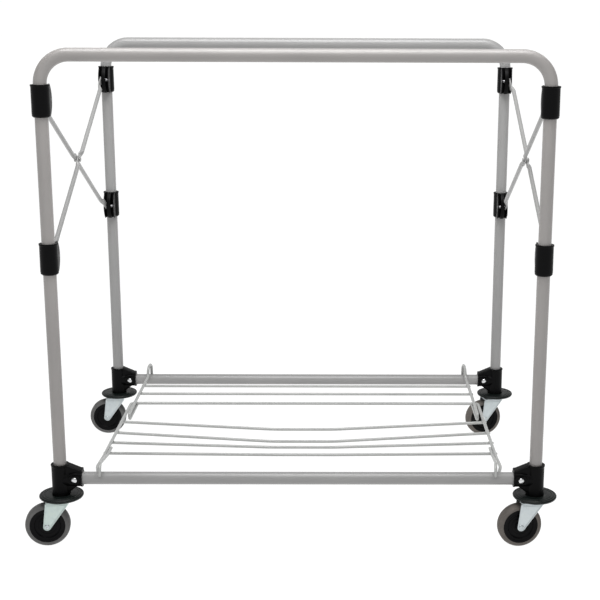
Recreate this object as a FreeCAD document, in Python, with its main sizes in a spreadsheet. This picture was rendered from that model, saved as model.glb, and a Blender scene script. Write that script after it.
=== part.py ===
import FreeCAD, Part
import math
import os
import Sketcher

# A folding X-brace trolley frame: two tubular side frames, each a hoop on two legs with a
# crossbar at the foot, joined at each end by a pair of crossed braces. The braces hang in
# moulded collars: the upper collars are fixed to the legs and the lower ones slide down them
# as the frame closes. A two-part wire shelf lies between the crossbars, and each foot has a
# bumper disc and a swivel caster.
#
# Millimetres, +Z up, floor at z = 0. X runs along the hoops and Y from the front frame to the
# rear one. The casters trail towards -X, so the middle of the frames stands at
# x = frame_middle, and the origin is under the middle of the whole object.

DIMENSIONS = {
    # whole frame
    "frame_middle": 13.25,        # X of the plane midway between the legs
    "leg_spacing": 830.0,         # between leg axes along X
    "frame_spacing": 585.0,       # between the two frames' planes along Y
    "tube_radius": 11.1,          # legs, hoops and crossbars
    "tube_wall": 1.2,
    "hoop_height": 850.0,         # axis of the hoop's top rail
    "hoop_bend": 48.0,            # bend radius of the hoop's corners, on the axis
    "spigot_length": 40.0,        # reduced end of the hoop inside the leg
    "spigot_gap": 0.15,
    "crossbar_height": 123.5,     # axis of the crossbars
    "leg_foot_height": 104.0,     # lower end of the leg tubes
    # collars and braces
    "collar_height": 53.0,
    "collar_radius": 15.3,
    "collar_play": 0.35,          # between a sliding collar and its leg
    "upper_pivot_height": 776.0,
    "lower_pivot_height": 514.0,
    "pivot_reach": 30.0,          # from the leg axis to the hinge pin
    "lobe_reach": 38.0,           # from the leg axis to the collar's nose
    "lobe_flat": 24.0,            # straight part of the lobe before its rounded nose
    "lobe_width": 21.6,
    "web_width": 8.0,
    "slot_width": 4.6,
    "slot_depth": 21.0,
    "hinge_pin_radius": 3.0,
    "running_gap": 0.06,
    "open_gap": 0.45,             # play at the one pivot that closes the linkage
    "brace_radius": 4.0,
    "brace_offset": 4.3,          # brace axis from the plane of its flattened ends
    "brace_flat_thickness": 3.0,
    "brace_flat_width": 13.0,
    "brace_flat_length": 34.0,    # from the end pivot to the round part
    "brace_centre_flat": 18.0,    # from the centre rivet to the round part
    "brace_centre_offset": 1.7,
    "centre_rivet_radius": 2.5,
    # foot
    "corner_radius": 15.3,
    "corner_arm_radius": 14.5,
    "corner_arm_length": 39.0,
    "corner_top": 26.5,           # above the crossbar axis
    "corner_bottom": 32.0,        # below the crossbar axis
    "corner_web_width": 21.0,
    "corner_recess_radius": 7.5,
    "corner_recess_floor": 12.4,
    "corner_rivet_reach": 26.0,
    "corner_rivet_radius": 2.5,
    "disc_radius": 38.5,
    "disc_bottom": 87.5,
    "disc_floor": 91.5,
    "disc_rim": 95.0,
    # casters
    "wheel_radius": 39.0,
    "tyre_width": 22.0,
    "tyre_inner_radius": 30.2,
    "hub_width": 25.4,
    "axle_radius": 4.0,
    "trail": 26.0,                # from the swivel axis back to the axle
    "fork_plate": 2.0,
    "fork_inside": 27.0,
    "fork_crown_top": 84.5,
    "stem_radius": 5.0,
    # shelf
    "rail_wire_radius": 3.0,
    "cross_wire_radius": 2.8,
    "front_rail_x": 358.0,        # from the frame's middle plane
    "rear_rail_x": 348.0,
    "front_shelf_height": 126.5,
    "rear_shelf_height": 132.9,
    "shelf_hinge_y": 114.0,
    "shelf_tail_y": 30.0,
    "hook_height": 155.0,
    "hook_reach": 15.5,           # from the crossbar axis to the hook's legs
}

# how far each caster is turned from trailing straight along -X, in degrees about +Z
CASTER_TURN = {"front_left": 7.0, "front_right": 8.0, "rear_left": 1.0, "rear_right": 13.0}

# cross wires: distance from the middle along Y, and how far the middle of each is bowed down
FRONT_WIRES = ((13.5, 15.4), (-50.0, 17.7), (-106.0, 8.9), (-163.0, 2.6))
REAR_WIRES = (175.5, 230.0)

doc = FreeCAD.newDocument("trolley")
sheet = doc.addObject("Spreadsheet::Sheet", "sheet")
subparts = []


class Size:
    """A length with its value and the sheet expression that gives it."""

    def __init__(self, value, text):
        self.value = value
        self.text = text

    def _join(self, other, sign, value):
        other = as_size(other)
        return Size(value(self.value, other.value), f"({self.text} {sign} {other.text})")

    def __add__(self, other):
        return self._join(other, "+", lambda a, b: a + b)

    def __sub__(self, other):
        return self._join(other, "-", lambda a, b: a - b)

    def __mul__(self, other):
        return self._join(other, "*", lambda a, b: a * b)

    def __truediv__(self, other):
        return self._join(other, "/", lambda a, b: a / b)

    def __radd__(self, other):
        return as_size(other) + self

    def __rsub__(self, other):
        return as_size(other) - self

    def __rmul__(self, other):
        return as_size(other) * self

    def __neg__(self):
        return Size(-self.value, f"(0 - {self.text})")


def as_size(value):
    return value if isinstance(value, Size) else Size(float(value), f"({float(value)})")


class Sheet:
    """Gives each cell of the spreadsheet by its alias, as a Size."""

    def __getattr__(self, alias):
        return Size(float(sheet.get(alias)), f"sheet.{alias}")


def fill_sheet():
    for row, (alias, value) in enumerate(DIMENSIONS.items(), start=1):
        sheet.set(f"A{row}", alias)
        sheet.set(f"B{row}", str(value))
        sheet.setAlias(f"B{row}", alias)
    doc.recompute()


fill_sheet()
dim = Sheet()


# ---------------------------------------------------------------- building blocks

def new_body(label):
    body = doc.addObject("PartDesign::Body", label)
    body.Label = label
    body.AllowCompound = True
    subparts.append(body)
    return body


def place(part, x=0.0, y=0.0, z=0.0, turn=0.0):
    spot = [as_size(v) for v in (x, y, z)]
    vector = FreeCAD.Vector(*[v.value for v in spot])
    turned = FreeCAD.Rotation(FreeCAD.Vector(0, 0, 1), turn)
    part.Placement = FreeCAD.Placement(vector, turned)
    for axis, v in zip("xyz", spot):
        part.setExpression(f"Placement.Base.{axis}", v.text)
    return part


def sketch_on(body, role, offset=0.0):
    plane = next(p for p in body.Origin.OriginFeatures if p.Role == role)
    sketch = body.newObject("Sketcher::SketchObject", f"{body.Label}_sketch")
    sketch.AttachmentSupport = [(plane, "")]
    sketch.MapMode = "FlatFace"
    offset = as_size(offset)
    sketch.AttachmentOffset = FreeCAD.Placement(FreeCAD.Vector(0, 0, offset.value), FreeCAD.Rotation())
    sketch.setExpression("AttachmentOffset.Base.z", offset.text)
    return sketch


def bind(sketch, constraint, size):
    index = sketch.addConstraint(constraint)
    sketch.setExpression(f"Constraints[{index}]", size.text)


def pin_point(sketch, geometry, end, x, y):
    for kind, axis, size in (("DistanceX", -2, x), ("DistanceY", -1, y)):
        if abs(size.value) < 1e-9:
            sketch.addConstraint(Sketcher.Constraint("PointOnObject", geometry, end, axis))
        else:
            bind(sketch, Sketcher.Constraint(kind, geometry, end, size.value), size)


def add_circle(sketch, x, y, radius):
    x, y, radius = as_size(x), as_size(y), as_size(radius)
    centre = FreeCAD.Vector(x.value, y.value, 0)
    circle = sketch.addGeometry(Part.Circle(centre, FreeCAD.Vector(0, 0, 1), radius.value))
    bind(sketch, Sketcher.Constraint("Radius", circle, radius.value), radius)
    pin_point(sketch, circle, 3, x, y)


def add_outline(sketch, corners, closed=True):
    """Straight runs between corners; a corner given as (x, y, radius, side) is reached by an arc
    of that radius, bulging to the side named."""
    points = [(as_size(c[0]), as_size(c[1])) for c in corners]
    count = len(points)
    edges = []
    for i in range(count if closed else count - 1):
        (x1, y1), (x2, y2) = points[i], points[(i + 1) % count]
        start = FreeCAD.Vector(x1.value, y1.value, 0)
        end = FreeCAD.Vector(x2.value, y2.value, 0)
        bend = corners[(i + 1) % count][2:]
        if bend:
            radius, side = as_size(bend[0]), bend[1]
            chord = end - start
            rise = math.sqrt(max(radius.value ** 2 - (chord.Length / 2) ** 2, 0.0))
            across = FreeCAD.Vector(-chord.y, chord.x, 0).normalize() * side
            centre = (start + end) / 2 - across * rise
            top = centre + across * radius.value
            arc = Part.Arc(start, top, end)
            edge = sketch.addGeometry(arc)
            forward = sketch.getPoint(edge, 1).distanceToPoint(start) < 1e-6
            edges.append((edge, 1, 2) if forward else (edge, 2, 1))
            bind(sketch, Sketcher.Constraint("Radius", edge, radius.value), radius)
        else:
            edge = sketch.addGeometry(Part.LineSegment(start, end))
            edges.append((edge, 1, 2))
    for i, (edge, first, last) in enumerate(edges):
        pin_point(sketch, edge, first, *points[i])
        if i + 1 < len(edges):
            sketch.addConstraint(Sketcher.Constraint("Coincident", edge, last, edges[i + 1][0], edges[i + 1][1]))
    edge, first, last = edges[-1]
    if closed:
        sketch.addConstraint(Sketcher.Constraint("Coincident", edge, last, edges[0][0], edges[0][1]))
    else:
        pin_point(sketch, edge, last, *points[-1])
    return edges


def pad(body, sketch, length, middle=False, reverse=False):
    feature = body.newObject("PartDesign::Pad", f"{body.Label}_pad")
    feature.Profile = sketch
    feature.Length = as_size(length).value
    feature.setExpression("Length", as_size(length).text)
    feature.Midplane = middle
    feature.Reversed = reverse
    return feature


def pocket(body, sketch, length=None, middle=False, reverse=False):
    feature = body.newObject("PartDesign::Pocket", f"{body.Label}_pocket")
    feature.Profile = sketch
    if length is None:
        feature.Type = "ThroughAll"
        feature.Midplane = True
    else:
        feature.Length = as_size(length).value
        feature.setExpression("Length", as_size(length).text)
        feature.Midplane = middle
        feature.Reversed = reverse
    return feature


def revolve(body, sketch, axis="V_Axis"):
    feature = body.newObject("PartDesign::Revolution", f"{body.Label}_turn")
    feature.Profile = sketch
    feature.ReferenceAxis = (sketch, [axis])
    feature.Angle = 360.0
    return feature


def turned_piece(label, outline, role="XZ_Plane"):
    body = new_body(label)
    sketch = sketch_on(body, role)
    add_outline(sketch, outline)
    revolve(body, sketch)
    return body


def cut_circle(body, role, x, y, radius, length=None, offset=0.0, reverse=False):
    sketch = sketch_on(body, role, offset)
    add_circle(sketch, x, y, radius)
    return pocket(body, sketch, length, reverse=reverse)


def ends_of(frame):
    """Each frame's left and right leg: label, X sign, X place."""
    return [(f"{frame}_{side}", sign, dim.frame_middle + sign * dim.leg_spacing / 2)
            for side, sign in (("left", -1), ("right", 1))]


FRAMES = (("front", -1), ("rear", 1))


def frame_y(sign):
    return sign * dim.frame_spacing / 2


# ---------------------------------------------------------------- tubular frames

def tube(label, role, length, start=0.0):
    body = new_body(label)
    sketch = sketch_on(body, role, start)
    add_circle(sketch, 0, 0, dim.tube_radius)
    add_circle(sketch, 0, 0, dim.tube_radius - dim.tube_wall)
    pad(body, sketch, length)
    return body


def hoop(frame, sign):
    """A tube bent into an upside-down U, with its two ends reduced to enter the legs."""
    body = new_body(f"{frame}_hoop")
    half, top, bend = dim.leg_spacing / 2, dim.hoop_height, dim.hoop_bend
    foot = dim.upper_pivot_height
    path = sketch_on(body, "XZ_Plane")
    add_outline(path, [
        (-half, foot),
        (-half, top - bend),
        (-half + bend, top, bend, 1),
        (half - bend, top),
        (half, top - bend, bend, 1),
        (half, foot),
    ], closed=False)
    ring = sketch_on(body, "XY_Plane", foot)
    add_circle(ring, -half, 0, dim.tube_radius)
    add_circle(ring, -half, 0, dim.tube_radius - dim.tube_wall)
    doc.recompute()
    pipe = body.newObject("PartDesign::AdditivePipe", f"{body.Label}_pipe")
    pipe.Profile = ring
    pipe.Spine = (path, [f"Edge{i}" for i in range(1, 6)])
    spigot = dim.tube_radius - dim.tube_wall - dim.spigot_gap
    shoulder = 3.0
    for x in (-half, half):
        neck = sketch_on(body, "XY_Plane", foot)
        add_circle(neck, x, 0, spigot + dim.spigot_gap * 3)
        add_circle(neck, x, 0, spigot - dim.tube_wall)
        pad(body, neck, shoulder)
        plug = sketch_on(body, "XY_Plane", foot)
        add_circle(plug, x, 0, spigot)
        add_circle(plug, x, 0, spigot - dim.tube_wall)
        pad(body, plug, dim.spigot_length, reverse=True)
    place(body, dim.frame_middle, frame_y(sign), 0)


def legs_and_crossbar(frame, sign):
    for label, _, x in ends_of(frame):
        leg = tube(f"{label}_leg", "XY_Plane", dim.upper_pivot_height - dim.leg_foot_height)
        place(leg, x, frame_y(sign), dim.leg_foot_height)
    inset = dim.tube_radius + 3
    bar = tube(f"{frame}_crossbar", "YZ_Plane", dim.leg_spacing - inset * 2)
    reach = dim.leg_spacing / 2 - dim.corner_rivet_reach
    for side in (-1, 1):
        x = dim.leg_spacing / 2 - inset + side * reach
        cut_circle(bar, "XZ_Plane", x, 0, dim.corner_rivet_radius)
    place(bar, dim.frame_middle - dim.leg_spacing / 2 + inset, frame_y(sign), dim.crossbar_height)


# ---------------------------------------------------------------- collars and hinge pins

def collar(label, bore):
    """A sleeve with a rounded lobe towards +Y, slotted each side of a middle web."""
    body = new_body(label)
    half, nose, flat = dim.collar_height / 2, dim.lobe_reach, dim.lobe_flat
    depth = nose.value - flat.value
    nose_radius = (depth ** 2 + half.value ** 2) / (2 * depth)
    lobe = sketch_on(body, "YZ_Plane")
    add_outline(lobe, [
        (0, -half),
        (flat, -half),
        (flat, half, nose_radius, -1),
        (0, half),
    ])
    pad(body, lobe, dim.lobe_width, middle=True)
    sleeve = sketch_on(body, "XZ_Plane")
    add_outline(sleeve, [
        (0, -half),
        (dim.collar_radius - 2.2, -half),
        (dim.collar_radius, -half + 2.2),
        (dim.collar_radius, half),
        (0, half),
    ])
    revolve(body, sleeve)
    slot_middle = (dim.web_width + dim.slot_width) / 2
    inner = nose - dim.slot_depth
    slots = sketch_on(body, "XY_Plane")
    for side in (-1, 1):
        low_x = side * slot_middle - dim.slot_width / 2
        high_x = side * slot_middle + dim.slot_width / 2
        add_outline(slots, [(low_x, inner), (high_x, inner), (high_x, nose + 2), (low_x, nose + 2)])
    pocket(body, slots)
    cut_circle(body, "XY_Plane", 0, 0, bore)
    cut_circle(body, "YZ_Plane", dim.pivot_reach, 0, dim.hinge_pin_radius)
    return body


def cross_pin(body, role, radius, half_length, x=0.0, y=0.0):
    sketch = sketch_on(body, role)
    add_circle(sketch, x, y, radius)
    return pad(body, sketch, as_size(half_length) * 2, middle=True)


def collars(frame, sign):
    turn = 0 if sign < 0 else 180
    for label, _, x in ends_of(frame):
        upper = collar(f"{label}_upper_collar", dim.tube_radius + 0.02)
        place(upper, x, frame_y(sign), dim.upper_pivot_height, turn)
        lower = collar(f"{label}_slider", dim.tube_radius + dim.collar_play)
        place(lower, x, frame_y(sign), dim.lower_pivot_height, turn)
        pin = new_body(f"{label}_slider_pin")
        cross_pin(pin, "YZ_Plane", dim.hinge_pin_radius, dim.lobe_width / 2 - 0.3)
        place(pin, x, frame_y(sign) - sign * dim.pivot_reach, dim.lower_pivot_height)
    pins = new_body(f"{frame}_hinge_pins")
    half = dim.lobe_width / 2 - 0.3
    for side in (-1, 1):
        centre = side * dim.leg_spacing / 2
        sketch = sketch_on(pins, "YZ_Plane", centre - half)
        add_circle(sketch, 0, 0, dim.hinge_pin_radius)
        pad(pins, sketch, half * 2)
    place(pins, dim.frame_middle, frame_y(sign) - sign * dim.pivot_reach, dim.upper_pivot_height)


# ---------------------------------------------------------------- braces

def brace(label, side, end_radius, centre_radius):
    """A round rod along +Y with flattened ends and middle. The flats stand in the hinge plane and
    the rod's axis runs beside it, on the side given, so that the two rods of a pair can close."""
    body = new_body(label)
    rise = DIMENSIONS["upper_pivot_height"] - DIMENSIONS["lower_pivot_height"]
    run = DIMENSIONS["frame_spacing"] - 2 * DIMENSIONS["pivot_reach"]
    length = math.hypot(run, rise)
    half = length / 2
    radius = dim.brace_flat_width / 2
    for end in (-1, 1):
        eye = sketch_on(body, "YZ_Plane")
        inner = end * (half - DIMENSIONS["brace_flat_length"] - 4)
        low, high = sorted((end * half, inner))
        add_outline(eye, [(low, -radius), (high, -radius), (high, radius), (low, radius)])
        pad(body, eye, dim.brace_flat_thickness, middle=True)
        tip = sketch_on(body, "YZ_Plane")
        add_circle(tip, end * half, 0, radius)
        pad(body, tip, dim.brace_flat_thickness, middle=True)
        near = DIMENSIONS["brace_centre_flat"]
        far = half - DIMENSIONS["brace_flat_length"]
        start = near if end > 0 else -far
        rod = sketch_on(body, "XZ_Plane", -(start + far - near))
        add_circle(rod, side * dim.brace_offset, 0, dim.brace_radius)
        pad(body, rod, far - near)
    middle = dim.brace_centre_flat + 5
    plate = sketch_on(body, "YZ_Plane", side * dim.brace_centre_offset - dim.brace_flat_thickness / 2)
    add_outline(plate, [(-middle, -radius), (middle, -radius), (middle, radius), (-middle, radius)])
    pad(body, plate, dim.brace_flat_thickness)
    for y, hole in ((-half, end_radius[0]), (half, end_radius[1]), (0, centre_radius)):
        cut_circle(body, "YZ_Plane", y, 0, hole)
    return body


def braces():
    """At each end: brace a from the front upper pin down to the rear slider, and brace b from the
    rear upper pin down to the front slider."""
    rise = DIMENSIONS["upper_pivot_height"] - DIMENSIONS["lower_pivot_height"]
    run = DIMENSIONS["frame_spacing"] - 2 * DIMENSIONS["pivot_reach"]
    slope = math.degrees(math.atan2(rise, run))
    pin = dim.hinge_pin_radius + dim.running_gap
    loose = dim.hinge_pin_radius + dim.open_gap
    slot_middle = (dim.web_width + dim.slot_width) / 2
    height = (dim.upper_pivot_height + dim.lower_pivot_height) / 2
    for side, sign in (("left", -1), ("right", 1)):
        x = dim.frame_middle + sign * (dim.leg_spacing / 2 + slot_middle)
        rear_hole = pin if side == "left" else loose
        first = brace(f"{side}_brace_a", -1, (pin, pin), dim.centre_rivet_radius)
        second = brace(f"{side}_brace_b", 1, (pin, rear_hole), dim.centre_rivet_radius + dim.running_gap)
        for body, tilt in ((first, -slope), (second, slope)):
            place(body, x, 0, height)
            body.Placement = FreeCAD.Placement(
                body.Placement.Base, FreeCAD.Rotation(FreeCAD.Vector(1, 0, 0), tilt))
        rivet = new_body(f"{side}_brace_rivet")
        shank = dim.brace_centre_offset + dim.brace_flat_thickness / 2 + 0.3
        cross_pin(rivet, "YZ_Plane", dim.centre_rivet_radius, shank)
        for end in (-1, 1):
            head = sketch_on(rivet, "YZ_Plane", end * (shank + 0.75) - 0.75)
            add_circle(head, 0, 0, 5.0)
            pad(rivet, head, 1.5)
        place(rivet, x, 0, height)


# ---------------------------------------------------------------- feet

def corner(label):
    """A moulded corner: a socket for the leg, an arm towards +X for the crossbar, and a web
    between the two, with a dished seat for the rivet on each side."""
    body = new_body(label)
    low, high, arm = -dim.corner_bottom, dim.corner_top, dim.corner_arm_length
    socket = sketch_on(body, "XY_Plane", low)
    add_circle(socket, 0, 0, dim.corner_radius)
    pad(body, socket, high - low)
    reach = sketch_on(body, "YZ_Plane")
    add_circle(reach, 0, 0, dim.corner_arm_radius)
    pad(body, reach, arm)
    web = sketch_on(body, "XZ_Plane")
    add_outline(web, [(0, 0), (arm, 0), (arm, dim.corner_arm_radius + 0.5), (dim.corner_radius, high), (0, high)])
    pad(body, web, dim.corner_web_width, middle=True)
    gusset = sketch_on(body, "XZ_Plane")
    add_outline(gusset, [(0, 0), (0, low + 8), (dim.corner_radius - 1, low + 8), (arm - 10, -dim.corner_arm_radius + 2), (arm - 10, 0)])
    pad(body, gusset, dim.corner_web_width - 4, middle=True)
    for side in (-1, 1):
        seat = sketch_on(body, "XZ_Plane", side * dim.corner_recess_floor)
        add_circle(seat, dim.corner_rivet_reach, 0, dim.corner_recess_radius)
        pocket(body, seat, 6.0, reverse=side > 0)
    cut_circle(body, "XY_Plane", 0, 0, dim.tube_radius, dim.corner_top + 30,
               offset=dim.leg_foot_height - dim.crossbar_height, reverse=True)
    cut_circle(body, "YZ_Plane", 0, 0, dim.tube_radius, dim.corner_arm_length,
               offset=dim.tube_radius + 3, reverse=True)
    cut_circle(body, "XZ_Plane", dim.corner_rivet_reach, 0, dim.corner_rivet_radius)
    cut_circle(body, "XY_Plane", 0, 0, dim.stem_radius)
    return body


def feet(frame, sign):
    for label, side, x in ends_of(frame):
        body = corner(f"{label}_corner")
        place(body, x, frame_y(sign), dim.crossbar_height, 0 if side < 0 else 180)
    rivets = new_body(f"{frame}_corner_rivets")
    seat = dim.corner_recess_floor
    for side in (-1, 1):
        x = side * (dim.leg_spacing / 2 - dim.corner_rivet_reach)
        shank = sketch_on(rivets, "XZ_Plane")
        add_circle(shank, x, 0, dim.corner_rivet_radius)
        pad(rivets, shank, seat * 2, middle=True)
        for end in (-1, 1):
            head = sketch_on(rivets, "XZ_Plane", end * (seat + 1.0) - 1.0)
            add_circle(head, x, 0, 5.0)
            pad(rivets, head, 2.0)
    place(rivets, dim.frame_middle, frame_y(sign), dim.crossbar_height)

    discs = new_body(f"{frame}_bumper_discs")
    stems = new_body(f"{frame}_caster_stems")
    for side in (-1, 1):
        x = side * dim.leg_spacing / 2
        dish(discs, x)
        stem(stems, x)
    for group in (discs, stems):
        place(group, dim.frame_middle, frame_y(sign), 0)


def dish(body, x):
    """A round bumper with a seat in its top for the corner's socket, bored for the caster's stem."""
    for low, height, radius in (
        (dim.disc_bottom, 2.0, dim.disc_radius - 3.0),
        (dim.disc_bottom + 2.0, dim.disc_rim - dim.disc_bottom - 2.0, dim.disc_radius),
    ):
        slab = sketch_on(body, "XY_Plane", low)
        add_circle(slab, x, 0, radius)
        pad(body, slab, height)
    cut_circle(body, "XY_Plane", x, 0, dim.corner_radius + 0.3, dim.disc_rim, offset=dim.disc_floor, reverse=True)
    cut_circle(body, "XY_Plane", x, 0, dim.stem_radius)


def stem(body, x):
    """Swivel stem: a headed pin up through the fork's crown, with a bearing cup above it."""
    crown = dim.fork_crown_top
    head_top = crown - dim.fork_plate - 0.3
    for low, high, radius in (
        (head_top - 2.5, head_top, 7.5),
        (head_top, dim.disc_bottom + 16.4, dim.stem_radius),
        (crown + 0.3, dim.disc_bottom, 15.0),
    ):
        slab = sketch_on(body, "XY_Plane", low)
        add_circle(slab, x, 0, radius)
        pad(body, slab, high - low)


# ---------------------------------------------------------------- casters

def fork(label):
    """A pressed fork: two tapering cheeks under a flat crown, trailing towards -X."""
    body = new_body(label)
    top, trail, end = dim.fork_crown_top, dim.trail, 7.0
    outer = dim.fork_inside / 2 + dim.fork_plate
    cheek = [
        (12.7, top),
        (12.7, top - 4.5),
        (-trail + end * 0.827, dim.wheel_radius - end * 0.563),
        (-trail - end * 0.988, dim.wheel_radius + end * 0.155),
        (-27.5, top),
    ]
    for side in (-1, 1):
        low = side * (outer - dim.fork_plate / 2) - dim.fork_plate / 2
        plate = sketch_on(body, "XZ_Plane", low)
        add_outline(plate, cheek)
        pad(body, plate, dim.fork_plate)
        boss = sketch_on(body, "XZ_Plane", low)
        add_circle(boss, -trail, dim.wheel_radius, end)
        pad(body, boss, dim.fork_plate)
    crown = sketch_on(body, "XY_Plane", top - dim.fork_plate)
    add_outline(crown, [(-27.5, -outer), (12.7, -outer), (12.7, outer), (-27.5, outer)])
    pad(body, crown, dim.fork_plate)
    round_top = sketch_on(body, "XY_Plane", top - dim.fork_plate)
    add_circle(round_top, 0, 0, outer + 0.6)
    pad(body, round_top, dim.fork_plate)
    cut_circle(body, "XY_Plane", 0, 0, dim.stem_radius + 0.1)
    cut_circle(body, "XZ_Plane", -trail, dim.wheel_radius, dim.axle_radius)
    return body


def wheel_parts(label):
    """Half sections turned about the axle; the sketch's vertical axis becomes the axle."""
    half, outer, inner = dim.tyre_width / 2, dim.wheel_radius, dim.tyre_inner_radius
    hub_half = dim.hub_width / 2
    bore = dim.axle_radius + 0.05
    tyre = turned_piece(f"{label}_tyre", [
        (inner, -half),
        (outer - 5, -half),
        (outer, -half + 6, 7.0, -1),
        (outer, half - 6),
        (outer - 5, half, 7.0, -1),
        (inner, half),
    ], "XY_Plane")
    hub = turned_piece(f"{label}_hub", [
        (bore, -hub_half),
        (9.0, -hub_half),
        (10.5, -hub_half + 4.2),
        (21.0, -hub_half + 4.6),
        (22.5, -hub_half + 2.0),
        (inner - 1.5, -half),
        (inner, -half),
        (inner, half),
        (inner - 1.5, half),
        (22.5, hub_half - 2.0),
        (21.0, hub_half - 4.6),
        (10.5, hub_half - 4.2),
        (9.0, hub_half),
        (bore, hub_half),
    ], "XY_Plane")
    outside = dim.fork_inside / 2 + dim.fork_plate
    axle = turned_piece(f"{label}_axle", [
        (0, -outside - 1.5),
        (3.2, -outside - 1.5),
        (4.7, -outside),
        (dim.axle_radius, -outside),
        (dim.axle_radius, outside),
        (4.7, outside),
        (3.2, outside + 1.5),
        (0, outside + 1.5),
    ], "XY_Plane")
    return tyre, hub, axle


def casters():
    for frame, sign in FRAMES:
        for label, _, x in ends_of(frame):
            turn = CASTER_TURN[label]
            place(fork(f"{label}_fork"), x, frame_y(sign), 0, turn)
            back = math.radians(turn)
            for body in wheel_parts(label):
                place(body, x - dim.trail * math.cos(back), frame_y(sign) - dim.trail * math.sin(back),
                      dim.wheel_radius, turn)


# ---------------------------------------------------------------- wire shelf

def bent_wire(points, radius, bends):
    """A round wire through the points, straight between them and with an arc of the given radius
    at each inner point (0 leaves a smooth spline through that run)."""
    edges = []
    start = FreeCAD.Vector(*points[0])
    for here, bend, ahead in zip(points[1:-1], bends, points[2:]):
        corner_at, after = FreeCAD.Vector(*here), FreeCAD.Vector(*ahead)
        back = (start - corner_at).normalize()
        on = (after - corner_at).normalize()
        turn = math.pi - back.getAngle(on)
        cut = bend * math.tan(turn / 2)
        first, last = corner_at + back * cut, corner_at + on * cut
        middle = corner_at + (back + on).normalize() * (bend / math.cos(turn / 2) - bend)
        edges.append(Part.LineSegment(start, first).toShape())
        edges.append(Part.Arc(first, middle, last).toShape())
        start = last
    edges.append(Part.LineSegment(start, FreeCAD.Vector(*points[-1])).toShape())
    return sweep(edges, radius)


def sweep(edges, radius):
    spine = Part.Wire(edges)
    begin = edges[0].valueAt(edges[0].FirstParameter)
    along = edges[0].tangentAt(edges[0].FirstParameter)
    ring = Part.Wire([Part.Circle(begin, along, radius).toShape()])
    return spine.makePipeShell([ring], True, False)


def bowed_wire(half, y, z, bow, radius):
    """A cross wire welded at both ends, its middle bowed down by the load it has carried."""
    if bow < 0.5:
        line = Part.LineSegment(FreeCAD.Vector(-half, y, z), FreeCAD.Vector(half, y, z))
        return sweep([line.toShape()], radius)
    flat = 60.0
    points = [(-half, y, z), (-flat, y, z - bow), (flat, y, z - bow), (half, y, z)]
    return bent_wire(points, radius, (620.0, 620.0))


def wire_node(label, shapes):
    """The wires are bent and swept in one go, so this node is a plain feature."""
    node = doc.addObject("Part::Feature", label)
    node.Label = label
    node.Shape = Part.makeCompound(shapes) if len(shapes) > 1 else shapes[0]
    node.Placement = FreeCAD.Placement(
        FreeCAD.Vector(DIMENSIONS["frame_middle"], 0, 0), FreeCAD.Rotation())
    subparts.append(node)


def shelf():
    size = {alias: getattr(dim, alias).value for alias in DIMENSIONS}
    rail, cross = size["rail_wire_radius"], size["cross_wire_radius"]
    bar = size["frame_spacing"] / 2
    front_z, rear_z = size["front_shelf_height"], size["rear_shelf_height"]
    front_x, rear_x = size["front_rail_x"], size["rear_rail_x"]
    hinge, tail = size["shelf_hinge_y"], size["shelf_tail_y"]
    reach, peak = size["hook_reach"], size["hook_height"]
    drop = rail + cross

    end = -bar + reach
    corner_bend = 9.0
    wire_node("shelf_front_frame", [bent_wire([
        (-front_x + 5, end, front_z),
        (-front_x - 2, end + 32, front_z),
        (-front_x, end + 80, front_z),
        (-front_x, hinge, front_z),
        (front_x, hinge, front_z),
        (front_x, end + 80, front_z),
        (front_x + 2, end + 32, front_z),
        (front_x - 5, end, front_z),
    ], rail, (60.0, 90.0, corner_bend, corner_bend, 90.0, 60.0))])

    wires = [bowed_wire(front_x + 4, y, front_z - drop, bow, cross) for y, bow in FRONT_WIRES]
    wire_node("shelf_front_wires", wires)

    hooks = []
    hook = rail * 0.9
    inner = front_x - rail - hook - 0.1
    for side in (-1, 1):
        hooks.append(bent_wire([
            (side * inner, -150.0, front_z),
            (side * inner, -185.0, front_z),
            (side * (inner - 4.5), end + 2, peak - 10),
            (side * (inner - 7.5), -bar, peak - 3),
            (side * (inner - 9), -bar - reach, peak - 7),
            (side * (inner - 8.5), -bar - reach, front_z + 8),
        ], hook, (20.0, 12.0, 9.0, 8.0)))
    wire_node("shelf_front_hooks", hooks)

    gap = rear_z - front_z
    rails = []
    for side in (-1, 1):
        x = side * rear_x
        rails.append(bent_wire([
            (x, hinge + 16, front_z - gap),
            (x, tail, front_z - gap),
            (x, tail, rear_z),
            (x, bar - reach, rear_z),
            (x - side, bar - reach, peak),
            (x - side * 3.5, bar + reach, peak),
            (x - side * 3.5, bar + reach, rear_z - 3),
        ], rail, (gap - 0.2, gap - 0.2, 7.0, 13.0, 13.0)))
    wire_node("shelf_rear_rails", rails)
    wire_node("shelf_rear_wires",
              [bowed_wire(rear_x + 4, y, rear_z - drop, 0.0, cross) for y in REAR_WIRES])


# ---------------------------------------------------------------- assembly and output

def build():
    for frame, sign in FRAMES:
        hoop(frame, sign)
        legs_and_crossbar(frame, sign)
        collars(frame, sign)
        feet(frame, sign)
    braces()
    casters()
    shelf()
    doc.recompute()


def check_and_write():
    for item in doc.Objects:
        if {"Invalid", "Error"} & set(item.State):
            raise RuntimeError(f"{item.Label} failed: {item.State}")
    os.makedirs("parts", exist_ok=True)
    for part in subparts:
        shape = part.Shape
        if shape.isNull() or not shape.isValid() or not shape.Solids:
            raise RuntimeError(f"{part.Label} has no valid solid")
        shape.exportStep(f"parts/{part.Label}.step")
    print(len(subparts), "sub-parts written")


build()
check_and_write()
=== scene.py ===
import math

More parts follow.
